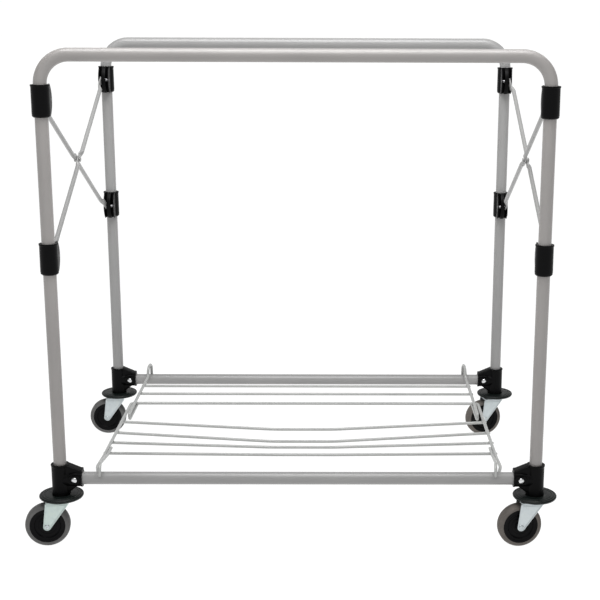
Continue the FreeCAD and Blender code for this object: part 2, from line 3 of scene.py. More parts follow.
import bpy
import numpy as np
from mathutils import Matrix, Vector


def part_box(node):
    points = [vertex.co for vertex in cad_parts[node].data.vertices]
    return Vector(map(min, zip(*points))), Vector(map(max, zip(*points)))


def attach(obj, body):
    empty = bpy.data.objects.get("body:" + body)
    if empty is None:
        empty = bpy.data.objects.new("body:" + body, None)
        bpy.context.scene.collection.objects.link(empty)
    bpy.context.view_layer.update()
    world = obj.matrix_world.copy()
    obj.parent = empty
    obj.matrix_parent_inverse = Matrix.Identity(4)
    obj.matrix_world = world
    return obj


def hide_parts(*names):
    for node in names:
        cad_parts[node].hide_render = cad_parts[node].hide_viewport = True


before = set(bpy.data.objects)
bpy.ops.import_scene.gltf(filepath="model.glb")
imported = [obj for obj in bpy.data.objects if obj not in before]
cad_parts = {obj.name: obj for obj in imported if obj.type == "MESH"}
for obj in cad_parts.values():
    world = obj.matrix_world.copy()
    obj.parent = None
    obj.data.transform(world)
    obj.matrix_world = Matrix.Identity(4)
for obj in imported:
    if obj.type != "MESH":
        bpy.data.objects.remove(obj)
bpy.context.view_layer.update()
print("frame loaded:", len(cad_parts), "CAD nodes")

sides = (("left", -1), ("right", 1))
frames = (("front", -1), ("rear", 1))


# surfaces

def circle(count):
    return np.linspace(0, 2 * math.pi, count, endpoint=False)


def squared(angle, power):
    # cosine and sine drawn towards a square; a power of 1 leaves a circle
    c, s = np.cos(angle), np.sin(angle)
    return np.sign(c) * np.abs(c) ** power, np.sign(s) * np.abs(s) ** power


def aroundAxis(r, angle, place, axis):
    # points at distance r from the named axis, at place along it
    u, v, w = r * np.cos(angle), r * np.sin(angle), place + 0 * angle
    return np.stack({"z": (u, v, w), "x": (w, u, v), "y": (v, w, u)}[axis], -1)


def shell(points, roundAcross=True, roundAlong=False):
    # points[i, j] is the surface at step i along and step j across; open ends are closed by a fan
    rows, cols = points.shape[:2]
    i = np.arange(rows if roundAlong else rows - 1)[:, None]
    j = np.arange(cols if roundAcross else cols - 1)[None, :]
    nextI, nextJ = (i + 1) % rows, (j + 1) % cols
    quads = np.stack([i * cols + j, i * cols + nextJ, nextI * cols + nextJ, nextI * cols + j], -1)
    verts = points.reshape(-1, 3)
    faces = quads.reshape(-1, 4).tolist()
    if not roundAlong:
        poles = np.stack([points[0].mean(0), points[-1].mean(0)])
        k = np.arange(cols)
        after = (k + 1) % cols
        first, last = rows * cols, rows * cols + 1
        low = np.stack([after, k, np.full(cols, first)], -1)
        base = (rows - 1) * cols
        high = np.stack([base + k, base + after, np.full(cols, last)], -1)
        faces += low.tolist() + high.tolist()
        verts = np.concatenate([verts, poles])
    return faceOutwards(verts, faces)


def faceOutwards(verts, faces):
    # the sum of the little pyramids under the faces is negative when the faces point inwards
    total = 0.0
    for corners in (3, 4):
        some = np.array([f for f in faces if len(f) == corners], int)
        if len(some):
            for k in range(1, corners - 1):
                a, b, c = verts[some[:, 0]], verts[some[:, k]], verts[some[:, k + 1]]
                total += float(np.einsum("ij,ij->i", a, np.cross(b, c)).sum())
    return verts, faces if total > 0 else [f[::-1] for f in faces]


def rounded(profile, radius, steps=4):
    # each corner of a closed outline is cut by a curve from one side to the next, its middle at
    # a quarter of each side point and half of the corner; radius may be one number or one each
    profile = np.asarray(profile, float)
    radius = np.broadcast_to(radius, len(profile))
    before, after = np.roll(profile, 1, 0), np.roll(profile, -1, 0)
    back, on = before - profile, after - profile
    lengthBack, lengthOn = np.linalg.norm(back, axis=1), np.linalg.norm(on, axis=1)
    cutBack = np.minimum(radius, lengthBack * 0.48)[:, None] * back / lengthBack[:, None]
    cutOn = np.minimum(radius, lengthOn * 0.48)[:, None] * on / lengthOn[:, None]
    t = np.linspace(0, 1, steps + 1)[None, :, None]
    a, b, c = (profile + cutBack)[:, None], profile[:, None], (profile + cutOn)[:, None]
    return (a * (1 - t) ** 2 + 2 * b * t * (1 - t) + c * t ** 2).reshape(-1, 2)


def turned(profile, radius=0.0004, axis="z", count=64, steps=3):
    # a closed outline of (distance from axis, place along axis), carried round the axis
    outline = rounded(profile, radius, steps)
    angle = circle(count)[:, None]
    return shell(aroundAxis(outline[None, :, 0], angle, outline[None, :, 1], axis), True, True)


def turnedSolid(profile, axis="z", count=48):
    # an open outline of (distance from axis, place along axis) that starts and ends on the axis
    outline = np.asarray(profile, float)
    angle = circle(count)[None, :]
    return shell(aroundAxis(outline[:, None, 0], angle, outline[:, None, 1], axis))


def bentPath(points, radii, arcStep=0.0015):
    # straight runs between the points, and at each inner point an arc touching both runs
    points = [np.array(p, float) for p in points]
    path = [points[0]]
    for before, here, after, bend in zip(points, points[1:-1], points[2:], radii):
        back, on = before - here, after - here
        back, on = back / np.linalg.norm(back), on / np.linalg.norm(on)
        turn = math.pi - math.acos(float(np.clip(back @ on, -1, 1)))
        cut = bend * math.tan(turn / 2)
        middle = back + on
        centre = here + middle / np.linalg.norm(middle) * bend / math.cos(turn / 2)
        first, last = here + back * cut - centre, here + on * cut - centre
        count = max(4, int(bend * turn / arcStep))
        t = np.linspace(0, 1, count + 1)[:, None]
        path += list(centre + (np.sin((1 - t) * turn) * first + np.sin(t * turn) * last) / math.sin(turn))
    path.append(points[-1])
    return np.array(path)


def along(path):
    # length from the start of the path to each of its points
    return np.concatenate([[0], np.cumsum(np.linalg.norm(np.diff(path, axis=0), axis=1))])


def tube(path, radius, across, count=32, roundEnds=False):
    # a circle carried along the path; across is a direction the path never runs in, and rounded
    # ends are half spheres
    path = np.asarray(path, float)
    radius = np.broadcast_to(radius, len(path)).astype(float)
    run = np.gradient(path, along(path), axis=0)
    run /= np.linalg.norm(run, axis=1)[:, None]
    if roundEnds:
        lift = np.sin(np.linspace(math.pi / 2 * 0.96, 0, 6))[:-1]
        extra = (len(lift), 1)
        head, tail = radius[0], radius[-1]
        path = np.concatenate([path[0] - run[0] * head * lift[:, None], path,
                               path[-1] + run[-1] * tail * lift[::-1, None]])
        run = np.concatenate([np.tile(run[0], extra), run, np.tile(run[-1], extra)])
        thin = np.sqrt(1 - lift ** 2)
        radius = np.concatenate([head * thin, radius, tail * thin[::-1]])
    side = np.cross(np.asarray(across, float), run)
    side /= np.linalg.norm(side, axis=1)[:, None]
    up = np.cross(run, side)
    angle = circle(count)[None, :, None]
    ring = np.cos(angle) * side[:, None] + np.sin(angle) * up[:, None]
    return shell(path[:, None] + radius[:, None, None] * ring)


def outlineInset(outline, inset):
    # the closed outline with every point moved inwards along the mean of its two sides' normals
    run = np.roll(outline, -1, 0) - np.roll(outline, 1, 0)
    normal = np.stack([-run[:, 1], run[:, 0]], -1) / np.linalg.norm(run, axis=1)[:, None]
    x, y = outline.T
    area = np.sum(x * np.roll(y, -1) - np.roll(x, -1) * y)
    return outline + normal * inset * (1 if area > 0 else -1)


def plate(outline, low, high, edge, axis="x"):
    # a flat outline given thickness, its rim a quarter circle on each side
    outline = np.asarray(outline, float)
    steps = [(edge * (1 - math.sin(b)), low + edge * (1 - math.cos(b)))
             for b in np.linspace(0, math.pi / 2, 5)]
    top = [(inset, low + high - place) for inset, place in reversed(steps)]
    rings = [np.column_stack([outlineInset(outline, inset), np.full(len(outline), place)])
             for inset, place in steps + top]
    grid = np.stack(rings)
    order = {"x": (2, 0, 1), "y": (0, 2, 1), "z": (0, 1, 2)}[axis]
    return shell(grid[..., order])


def moved(part, shift=(0, 0, 0), turn=0.0, tilt=0.0):
    # tilt turns about X, then turn about Z, in degrees, then the shift is added
    verts, faces = part
    spin = Matrix.Rotation(math.radians(turn), 3, "Z") @ Matrix.Rotation(math.radians(tilt), 3, "X")
    return verts @ np.array(spin).T + np.asarray(shift, float), faces


def mirrored(part, axis):
    verts, faces = part
    flip = np.ones(3)
    flip["xyz".index(axis)] = -1
    return verts * flip, [f[::-1] for f in faces]


def joined(parts):
    verts, faces, base = [], [], 0
    for points, some in parts:
        verts.append(points)
        faces += [[base + k for k in f] for f in some]
        base += len(points)
    return np.concatenate(verts), faces


def makePiece(name, parts, finish, body, nodes, creaseAngle=38):
    verts, faces = joined(parts)
    mesh = bpy.data.meshes.new(name)
    mesh.from_pydata(verts.tolist(), [], faces)
    mesh.validate()
    mesh.shade_smooth()
    mesh.set_sharp_from_angle(angle=math.radians(creaseAngle))
    piece = bpy.data.objects.new(name, mesh)
    bpy.context.scene.collection.objects.link(piece)
    mesh.materials.append(finish)
    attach(piece, body)
    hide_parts(*nodes)
    return piece


def centre(node):
    low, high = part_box(node)
    return (np.array(low) + np.array(high)) / 2


# finishes

def newFinish(name):
    finish = bpy.data.materials.new(name)
    finish.use_nodes = True
    nodes = finish.node_tree.nodes
    return finish, nodes, finish.node_tree.links, nodes["Principled BSDF"]


def addNoise(nodes, links, scale, detail=4.0, stretch=(1, 1, 1), roughness=0.5):
    place = nodes.new("ShaderNodeTexCoord")
    mapping = nodes.new("ShaderNodeMapping")
    mapping.inputs["Scale"].default_value = stretch
    noise = nodes.new("ShaderNodeTexNoise")
    noise.inputs["Scale"].default_value = scale
    noise.inputs["Detail"].default_value = detail
    noise.inputs["Roughness"].default_value = roughness
    links.new(place.outputs["Object"], mapping.inputs["Vector"])
    links.new(mapping.outputs["Vector"], noise.inputs["Vector"])
    return noise.outputs["Fac"]


def addRamp(nodes, links, source, stops):
    ramp = nodes.new("ShaderNodeValToRGB")
    while len(ramp.color_ramp.elements) < len(stops):
        ramp.color_ramp.elements.new(0.5)
    for element, (place, colour) in zip(ramp.color_ramp.elements, stops):
        element.position = place
        element.color = (*colour, 1)
    links.new(source, ramp.inputs["Fac"])
    return ramp.outputs["Color"]


def addRange(nodes, links, source, low, high, fromLow=0.3, fromHigh=0.7):
    spread = nodes.new("ShaderNodeMapRange")
    for socket, value in zip(("From Min", "From Max", "To Min", "To Max"), (fromLow, fromHigh, low, high)):
        spread.inputs[socket].default_value = value
    links.new(source, spread.inputs["Value"])
    return spread.outputs["Result"]


def addBump(nodes, links, shader, layers):
    # each layer is (height source, strength, distance)
    last = None
    for source, strength, distance in layers:
        bump = nodes.new("ShaderNodeBump")
        bump.inputs["Strength"].default_value = strength
        bump.inputs["Distance"].default_value = distance
        links.new(source, bump.inputs["Height"])
        if last:
            links.new(last, bump.inputs["Normal"])
        last = bump.outputs["Normal"]
    links.new(last, shader.inputs["Normal"])


def powderCoat(name, colour, roughness=0.36, coat=0.25):
    # sprayed and baked paint: a shade of drift over the length, fine orange peel, a few dull spots
    finish, nodes, links, shader = newFinish(name)
    c = np.array(colour)
    drift = addNoise(nodes, links, 7.0, 3.0)
    links.new(addRamp(nodes, links, drift, [(0.30, c * 0.95), (0.5, c), (0.72, np.minimum(c * 1.05, 1))]),
              shader.inputs["Base Color"])
    dull = addNoise(nodes, links, 60.0, 5.0)
    links.new(addRange(nodes, links, dull, roughness - 0.05, roughness + 0.08), shader.inputs["Roughness"])
    peel = addNoise(nodes, links, 750.0, 2.0)
    grit = addNoise(nodes, links, 2600.0, 3.0)
    addBump(nodes, links, shader, [(peel, 0.10, 0.0004), (grit, 0.05, 0.0002)])
    shader.inputs["Coat Weight"].default_value = coat
    shader.inputs["Coat Roughness"].default_value = 0.22
    return finish


def mouldedNylon(name, colour, roughness, specular):
    # black moulded plastic: fine spark grain, scuffs a little lighter and duller
    finish, nodes, links, shader = newFinish(name)
    c = np.array(colour)
    scuff = addNoise(nodes, links, 95.0, 6.0, roughness=0.62)
    links.new(addRamp(nodes, links, scuff, [(0.35, c), (0.60, c * 1.25), (0.80, c * 2.0)]),
              shader.inputs["Base Color"])
    links.new(addRange(nodes, links, scuff, roughness - 0.06, roughness + 0.12), shader.inputs["Roughness"])
    grain = addNoise(nodes, links, 3400.0, 2.0)
    flow = addNoise(nodes, links, 160.0, 2.0, (1, 1, 0.35))
    addBump(nodes, links, shader, [(grain, 0.10, 0.00015), (flow, 0.05, 0.0006)])
    shader.inputs["Specular IOR Level"].default_value = specular
    return finish


def zincPlate(name, colour, roughness, grainStretch=(1, 1, 1)):
    # bright plated steel: cloudy passivation and faint rolling marks
    finish, nodes, links, shader = newFinish(name)
    c = np.array(colour)
    cloud = addNoise(nodes, links, 120.0, 5.0)
    pale = np.minimum(c * (1.06, 1.05, 1.02), 1)
    links.new(addRamp(nodes, links, cloud, [(0.32, c * 0.90), (0.52, c), (0.70, pale)]),
              shader.inputs["Base Color"])
    links.new(addRange(nodes, links, cloud, roughness - 0.06, roughness + 0.12), shader.inputs["Roughness"])
    rolled = addNoise(nodes, links, 900.0, 3.0, grainStretch)
    addBump(nodes, links, shader, [(rolled, 0.08, 0.0003)])
    shader.inputs["Metallic"].default_value = 1.0
    return finish


def greyRubber(name, colour):
    # solid tyre: dusty, matt, with fine scuffing
    finish, nodes, links, shader = newFinish(name)
    c = np.array(colour)
    dust = addNoise(nodes, links, 70.0, 7.0, roughness=0.65)
    links.new(addRamp(nodes, links, dust, [(0.30, c * 0.82), (0.52, c), (0.75, c * 1.22)]),
              shader.inputs["Base Color"])
    links.new(addRange(nodes, links, dust, 0.58, 0.80), shader.inputs["Roughness"])
    scuff = addNoise(nodes, links, 1500.0, 4.0)
    addBump(nodes, links, shader, [(dust, 0.12, 0.0006), (scuff, 0.14, 0.0002)])
    shader.inputs["Specular IOR Level"].default_value = 0.25
    return finish


finishes = {
    "frontTube": powderCoat("warm grey powder coat", (0.272, 0.259, 0.251)),
    "rearTube": powderCoat("grey powder coat", (0.262, 0.260, 0.258)),
    "brace": powderCoat("grey powder coat on braces", (0.270, 0.270, 0.267), 0.34, 0.3),
    "wire": powderCoat("grey powder coat on wire", (0.365, 0.370, 0.362), 0.32, 0.35),
    "nylon": mouldedNylon("black moulded nylon", (0.0015, 0.0015, 0.0017), 0.36, 0.08),
    "disc": mouldedNylon("black moulded bumper", (0.0034, 0.0052, 0.0048), 0.34, 0.2),
    "hub": mouldedNylon("black moulded hub", (0.0022, 0.0022, 0.0025), 0.36, 0.08),
    "zinc": zincPlate("zinc plated pressing", (0.53, 0.575, 0.590), 0.34, (1, 1, 0.2)),
    "greenZinc": zincPlate("greenish zinc plated pressing", (0.505, 0.585, 0.562), 0.34, (1, 1, 0.2)),
    "rivet": zincPlate("bright rivet", (0.66, 0.67, 0.68), 0.22),
    "pin": zincPlate("dull steel pin", (0.24, 0.24, 0.25), 0.38),
    "tyre": greyRubber("grey solid rubber", (0.108, 0.107, 0.105)),
    "tyreWarm": greyRubber("warm grey solid rubber", (0.118, 0.106, 0.096)),
}


# the two tubular side frames

tubing = {
    "radius": 0.0111,
    "wall": 0.0012,
    "hoopBend": 0.048,
    "spigotRadius": 0.00975,
    "spigotLength": 0.040,
    "shoulder": 0.003,
    "lip": 0.0004,
}


def straightTube(length, axis):
    r, inner = tubing["radius"], tubing["radius"] - tubing["wall"]
    profile = [(inner, 0), (r, 0), (r, length), (inner, length)]
    return turned(profile, tubing["lip"], axis, 96)


for end, _ in frames:
    finish = finishes[f"{end}Tube"]
    low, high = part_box(f"{end}_hoop")
    y, r = centre(f"{end}_hoop")[1], tubing["radius"]
    left, right, top = low.x + r, high.x - r, high.z - r
    foot = low.z
    path = bentPath([(left, y, foot), (left, y, top), (right, y, top), (right, y, foot)],
                    [tubing["hoopBend"]] * 2)
    # the tube narrows over a short shoulder at each end, into the part inside the leg
    reach = along(path)
    neck = np.array([tubing["spigotLength"], tubing["spigotLength"] + tubing["shoulder"]])
    stops = np.unique(np.concatenate([reach, neck, reach[-1] - neck]))
    path = np.column_stack([np.interp(stops, reach, path[:, k]) for k in range(3)])
    fromEnd = np.minimum(stops, reach[-1] - stops)
    wide = np.clip((fromEnd - tubing["spigotLength"]) / tubing["shoulder"], 0, 1)
    radius = tubing["spigotRadius"] + (r - tubing["spigotRadius"]) * wide
    makePiece(f"{end}_hoop_tube", [tube(path, radius, (0, 1, 0), 64)], finish,
              f"{end}_frame", [f"{end}_hoop"])
    for side, _ in sides:
        name = f"{end}_{side}_leg"
        low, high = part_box(name)
        spot = centre(name)
        part = moved(straightTube(high.z - low.z, "z"), (spot[0], spot[1], low.z))
        makePiece(f"{name}_tube", [part], finish, f"{end}_frame", [name])
    name = f"{end}_crossbar"
    low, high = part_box(name)
    spot = centre(name)
    part = moved(straightTube(high.x - low.x, "x"), (low.x, spot[1], spot[2]))
    makePiece(f"{name}_tube", [part], finishes["rearTube"], f"{end}_frame", [name])
print("frames made")


# collars

collarShape = {
    "halfHeight": 0.0265,
    "sleeve": 0.0153,
    "rim": 0.0159,
    "rimHeight": 0.0024,
    "bore": 0.01118,
    "sliderBore": 0.01145,
    "nose": 0.0372,
    "lobeFlat": 0.024,
    "slotFloor": 0.017,
    "halfWidth": 0.0105,
    "cheekInner": 0.0086,
    "webHalf": 0.0040,
    "pinReach": 0.030,
    "pinRadius": 0.0030,
    "pinHalf": 0.0108,
    "edge": 0.0009,
}


def lobeOutline(start):
    # a block whose far end is one arc through its two corners and the nose
    c = collarShape
    half, flat, nose = c["halfHeight"], c["lobeFlat"], c["nose"]
    depth = nose - flat
    radius = (depth ** 2 + half ** 2) / (2 * depth)
    swing = math.asin(half / radius) if radius > depth else math.pi - math.asin(half / radius)
    a = np.linspace(-swing, swing, 33)
    arc = np.column_stack([nose - radius + radius * np.cos(a), radius * np.sin(a)])
    between = (start + flat) / 2
    return np.concatenate([[(start, -half), (between, -half)], arc, [(between, half), (start, half)]])


def collarParts(bore):
    c = collarShape
    h, r, rim, tall = c["halfHeight"], c["sleeve"], c["rim"], c["rimHeight"]
    sleeve = turned([
        (bore + 0.0006, -h), (r - 0.0024, -h), (r - 0.0002, -h + 0.0022), (r - 0.0002, -h + 0.0045),
        (r + 0.0001, -h + 0.0055), (r - 0.0001, h - tall - 0.0012), (rim, h - tall), (rim, h),
        (bore + 0.0009, h), (bore, h - 0.0009), (bore, -h + 0.0008),
    ], 0.0003, "z", 96, 2)
    # plan of the lobe's root, a strip between the bore and the lobe's square sides
    around = math.pi * np.linspace(0, 1, 41)
    spoke = np.column_stack([np.cos(around), np.sin(around)])
    w, deep = c["halfWidth"], c["slotFloor"]
    toSides = np.array([w, deep]) / np.maximum(np.abs(spoke), 1e-6)
    reach = np.maximum(toSides.min(1), bore + 0.0016)
    inner, outer = (bore + 0.0004) * spoke, reach[:, None] * spoke
    end = h - 0.0006
    root = shell(np.stack([np.column_stack([p, np.full(len(p), z)])
                           for p, z in ((inner, -end), (outer, -end), (outer, end), (inner, end))], 1))
    ribs = [plate(lobeOutline(deep - 0.002), low, high, c["edge"]) for low, high in (
        (-w, -c["cheekInner"]), (-c["webHalf"], c["webHalf"]), (c["cheekInner"], w))]
    return [sleeve, root] + ribs


def pinPart():
    c = collarShape
    r, half = c["pinRadius"], c["pinHalf"]
    profile = [(1e-5, -half), (r * 0.55, -half + 0.0001), (r * 0.9, -half + 0.0004), (r, -half + 0.0009),
               (r, half - 0.0009), (r * 0.9, half - 0.0004), (r * 0.55, half - 0.0001), (1e-5, half)]
    return turnedSolid(profile, "x", 32)


for end, way in frames:
    turn = 0 if way < 0 else 180
    pins = []
    for side, _ in sides:
        leg = centre(f"{end}_{side}_leg")
        for kind, body, bore in (("upper_collar", f"{end}_frame", collarShape["bore"]),
                                 ("slider", f"{end}_{side}_slider", collarShape["sliderBore"])):
            name = f"{end}_{side}_{kind}"
            height = centre(name)[2]
            parts = [moved(p, (leg[0], leg[1], height), turn) for p in collarParts(bore)]
            makePiece(f"{name}_moulding", parts, finishes["nylon"], body, [name], 32)
            pin = moved(pinPart(), (leg[0], leg[1] - way * collarShape["pinReach"], height))
            if kind == "slider":
                makePiece(f"{name}_pin_steel", [pin], finishes["pin"], body, [f"{name}_pin"])
            else:
                pins.append(pin)
    makePiece(f"{end}_hinge_pins_steel", pins, finishes["pin"], f"{end}_frame",
              [f"{end}_hinge_pins"])
print("collars made")


# crossed braces

braceShape = {
    "offset": 0.0043,
    "radius": 0.0040,
    "flatHalf": 0.0015,
    "flatWidth": 0.0065,
    "centreOffset": 0.0017,
    "endFlat": 0.024,
    "endBlend": 0.016,
    "middleFlat": 0.013,
    "middleBlend": 0.012,
    "rivetRadius": 0.0054,
    "rivetHalf": 0.0048,
    "rivetDome": 0.0020,
}


def easeBetween(value, low, high):
    t = np.clip((value - low) / (high - low), 0, 1)
    return t * t * (3 - 2 * t)


def bracePart(half, side):
    # a rod whose section is a superellipse: round along the rod, wide and thin where it is
    # pressed flat at the ends and the middle, its centre stepping sideways at each flat
    b = braceShape
    tip = half + b["flatWidth"]
    nearTip = tip - b["flatWidth"] * np.cos(np.linspace(0, math.pi / 2, 14)) * 0.999
    inward = np.concatenate([
        np.linspace(0, b["middleFlat"] + b["middleBlend"], 22),
        np.linspace(b["middleFlat"] + b["middleBlend"], half - b["endFlat"] - b["endBlend"], 4)[1:],
        np.linspace(half - b["endFlat"] - b["endBlend"], half - b["endFlat"], 14)[1:],
        nearTip,
    ])
    inward = np.unique(np.round(inward, 7))
    place = np.concatenate([-inward[::-1], inward[1:]])
    away = np.abs(place)
    roundMiddle = easeBetween(away, b["middleFlat"], b["middleFlat"] + b["middleBlend"])
    roundEnd = 1 - easeBetween(away, half - b["endFlat"] - b["endBlend"], half - b["endFlat"])
    roundness = roundMiddle * roundEnd
    shift = side * (b["offset"] * roundness
                    + b["centreOffset"] * (1 - roundMiddle) * (away < half / 2))
    thick = b["flatHalf"] + (b["radius"] - b["flatHalf"]) * roundness
    wide = b["flatWidth"] + (b["radius"] - b["flatWidth"]) * roundness
    fromTip = np.clip(tip - away, 0, b["flatWidth"])
    wide = wide * np.where(away > half, np.sqrt(np.clip(1 - (1 - fromTip / b["flatWidth"]) ** 2, 1e-6, 1)), 1)
    power = 2 / (4.5 - 2.5 * roundness)
    angle = circle(36)[None, :]
    across, upward = squared(angle, power[:, None])
    x = shift[:, None] + thick[:, None] * across
    z = wide[:, None] * upward
    return shell(np.stack([x, place[:, None] + 0 * angle, z], -1))


rivetShank = 0.0024


def domedRivet(radius, half, head, axis):
    # a shank with a dome at each end; the dome's profile is a quarter of an ellipse
    a = np.linspace(0, math.pi / 2, 7)
    dome = np.column_stack([np.maximum(radius * np.cos(a[::-1]), 1e-5), half + head * np.sin(a[::-1])])
    top = np.concatenate([[(rivetShank, half)], dome[::-1]])
    low = top[::-1] * (1, -1)
    return turnedSolid(np.concatenate([low, top]), axis, 40)


for side, _ in sides:
    rivetSpot = centre(f"{side}_brace_rivet")
    upper, lower = centre(f"front_{side}_upper_collar")[2], centre(f"front_{side}_slider")[2]
    span = abs(centre(f"front_{side}_leg")[1]) - collarShape["pinReach"]
    slope = math.degrees(math.atan2((upper - lower) / 2, span))
    half = math.hypot((upper - lower) / 2, span)
    for letter, lean, tilt in (("a", -1, -slope), ("b", 1, slope)):
        name = f"{side}_brace_{letter}"
        part = moved(bracePart(half, lean), rivetSpot, 0, tilt)
        makePiece(f"{name}_rod", [part], finishes["brace"], name, [name], 50)
    rivet = domedRivet(*(braceShape[k] for k in ("rivetRadius", "rivetHalf", "rivetDome")), "x")
    makePiece(f"{side}_brace_rivet_steel", [moved(rivet, rivetSpot)], finishes["brace"], f"{side}_brace_a",
              [f"{side}_brace_rivet"])
print("braces made")


# moulded corners, their rivets, bumper discs

cornerShape = {
    "socket": 0.0153,
    "arm": 0.0145,
    "armEnd": 0.039,
    "low": -0.032,
    "high": 0.0265,
    "roofHalf": 0.0105,
    "rivetReach": 0.026,
    "dishRadius": 0.0105,
    "dishFloor": 0.0124,
    "rivetHead": 0.0050,
    "rivetDome": 0.0022,
    "gussetHalf": 0.0088,
    "gussetEnd": 0.030,
    "browRadius": 0.0016,
    "squareness": 2 / 6.5,
}


def armPart():
    # the arm's skin as a cylinder along X, pressed in where it lies near the rivet's axis
    c = cornerShape
    place = np.linspace(0.002, c["armEnd"], 75)[:, None]
    angle = circle(160)[None, :]
    radius = c["arm"] + 0.0006 * easeBetween(place, c["armEnd"] - 0.0036, c["armEnd"] - 0.0024)
    y, z = radius * np.cos(angle), radius * np.sin(angle)
    away = np.hypot(place - c["rivetReach"], z)
    press = 1 - easeBetween(away, c["dishRadius"] - 0.0022, c["dishRadius"])
    flat = np.where(np.abs(y) > c["dishFloor"], np.sign(y) * c["dishFloor"], y)
    y = y + (flat - y) * press
    return shell(np.stack([place + 0 * angle, y, z + 0 * place], -1))


def roofPart():
    # the web over the arm: a rounded block whose top falls from the socket's rim to the arm's end
    c = cornerShape
    place = np.linspace(0.004, c["armEnd"] - 0.0002, 48)
    rise = np.interp(place, [0.0, 0.0155, c["armEnd"]], [c["high"], c["high"] - 0.0005, c["arm"] + 0.0012])
    rise = rise + 0.0009 * easeBetween(place, c["armEnd"] - 0.0036, c["armEnd"] - 0.0026)
    across, upward = squared(circle(64), c["squareness"])
    half = rise / 2
    y = c["roofHalf"] * across[None, :] * (1 - 0.03 * (place / c["armEnd"]))[:, None]
    z = half[:, None] + half[:, None] * upward[None, :]
    return shell(np.stack([place[:, None] + 0 * y, y, z], -1))


def gussetPart():
    # the web under the arm, its lower edge sloping up from the socket's foot to the arm
    c = cornerShape
    place = np.linspace(0.004, c["gussetEnd"], 20)
    drop = np.interp(place, [0.0, c["gussetEnd"] / 2, c["gussetEnd"]], [-0.026, -0.0245, -0.0128])
    across, upward = squared(circle(48), c["squareness"])
    y = c["gussetHalf"] * across[None, :] + 0 * place[:, None]
    z = (drop / 2)[:, None] - (drop / 2)[:, None] * upward[None, :]
    return shell(np.stack([place[:, None] + 0 * y, y, z], -1))


def cornerParts():
    c = cornerShape
    r, low, high = c["socket"], c["low"], c["high"]
    bore = tubing["radius"] + 0.0001
    socket = turned([
        (0.006, low), (r + 0.0003, low), (r, low + 0.003), (r - 0.0001, high - 0.0034),
        (r + 0.0007, high - 0.0024), (r + 0.0007, high), (bore + 0.0008, high), (bore, high - 0.0008),
        (bore, low + 0.0125), (0.006, low + 0.0125),
    ], 0.0004, "z", 96, 2)
    # a raised rib curving over the rivet on each face of the arm
    brow = bentPath([(0.0125, -0.0115, -0.004), (0.0135, -0.0135, 0.0085), (0.026, -0.0125, 0.0118),
                     (0.0355, -0.0105, 0.0100)], (0.007, 0.007), 0.0008)
    brows = [tube(brow * (1, way, 1), c["browRadius"], (0, 1, 0), 14, True) for way in (1, -1)]
    return [socket, armPart(), roofPart(), gussetPart()] + brows


discShape = {
    "low": 0.0875,
    "profile": [(0.00505, 0.0000), (0.0270, 0.0000), (0.0335, 0.0006), (0.0370, 0.0020), (0.0384, 0.0042),
                (0.0384, 0.0058), (0.0376, 0.0070), (0.0364, 0.0074), (0.0353, 0.0073), (0.0348, 0.0067),
                (0.0340, 0.0067), (0.0334, 0.0073), (0.0300, 0.0077), (0.0294, 0.0072), (0.0288, 0.0072),
                (0.0282, 0.0077), (0.0200, 0.0078), (0.0166, 0.0076), (0.0157, 0.0070), (0.0156, 0.0042),
                (0.00505, 0.0040)],
}

# a caster's stem as its head, post and bearing cup: profile, corner radius, points round
stemShape = [
    ([(0.0002, 0.0792), (0.0060, 0.0792), (0.0075, 0.0806), (0.0075, 0.0817), (0.0002, 0.0817)], 0.0004, 48),
    ([(0.0002, 0.0817), (0.0050, 0.0817), (0.0050, 0.1039), (0.0002, 0.1039)], 0.0003, 48),
    ([(0.0002, 0.0848), (0.0134, 0.0848), (0.0150, 0.0860), (0.0150, 0.0868), (0.0142, 0.0875),
      (0.0002, 0.0875)], 0.0003, 64),
]

for end, _ in frames:
    discs, rivets, stems = [], [], []
    bar = centre(f"{end}_crossbar")[2]
    for side, way in sides:
        leg = centre(f"{end}_{side}_leg")
        name = f"{end}_{side}_corner"
        turn = 0 if way < 0 else 180
        parts = [moved(p, (leg[0], leg[1], bar), turn) for p in cornerParts()]
        makePiece(f"{name}_moulding", parts, finishes["nylon"], f"{end}_frame", [name], 34)
        disc = turned(discShape["profile"], 0.0005, "z", 128, 2)
        discs.append(moved(disc, (leg[0], leg[1], discShape["low"])))
        rivet = domedRivet(cornerShape["rivetHead"], cornerShape["dishFloor"] + 0.0001,
                           cornerShape["rivetDome"], "y")
        rivets.append(moved(rivet, (leg[0] - way * cornerShape["rivetReach"], leg[1], bar)))
        stems += [moved(turned(profile, radius, "z", count), (leg[0], leg[1], 0))
                  for profile, radius, count in stemShape]
    for kind, parts, finish, slot, crease in (
            ("bumper_discs_moulding", discs, "disc", "nylon", 30),
            ("corner_rivets_steel", rivets, "rivet", "rivet_steel", 38),
            ("caster_stems_steel", stems, "zinc", "zinc", 38)):
        makePiece(f"{end}_{kind}", parts, finishes[finish], f"{end}_frame",
                  [f"{end}_{kind.rsplit('_', 1)[0]}"], crease)
print("feet made")


# casters

casterShape = {
    "turn": {"front_left": 7.0, "front_right": 8.0, "rear_left": 1.0, "rear_right": 13.0},
    "trail": 0.026,
    "radius": 0.039,
    "halfWidth": 0.011,
    "inside": 0.0135,
    "plate": 0.002,
    "crown": 0.0845,
    "crownBack": -0.0275,
    "crownFront": 0.0127,
    "bossRadius": 0.007,
    "edge": 0.0007,
    "rimInset": 0.0017,
    "foldRadius": 0.00045,
}


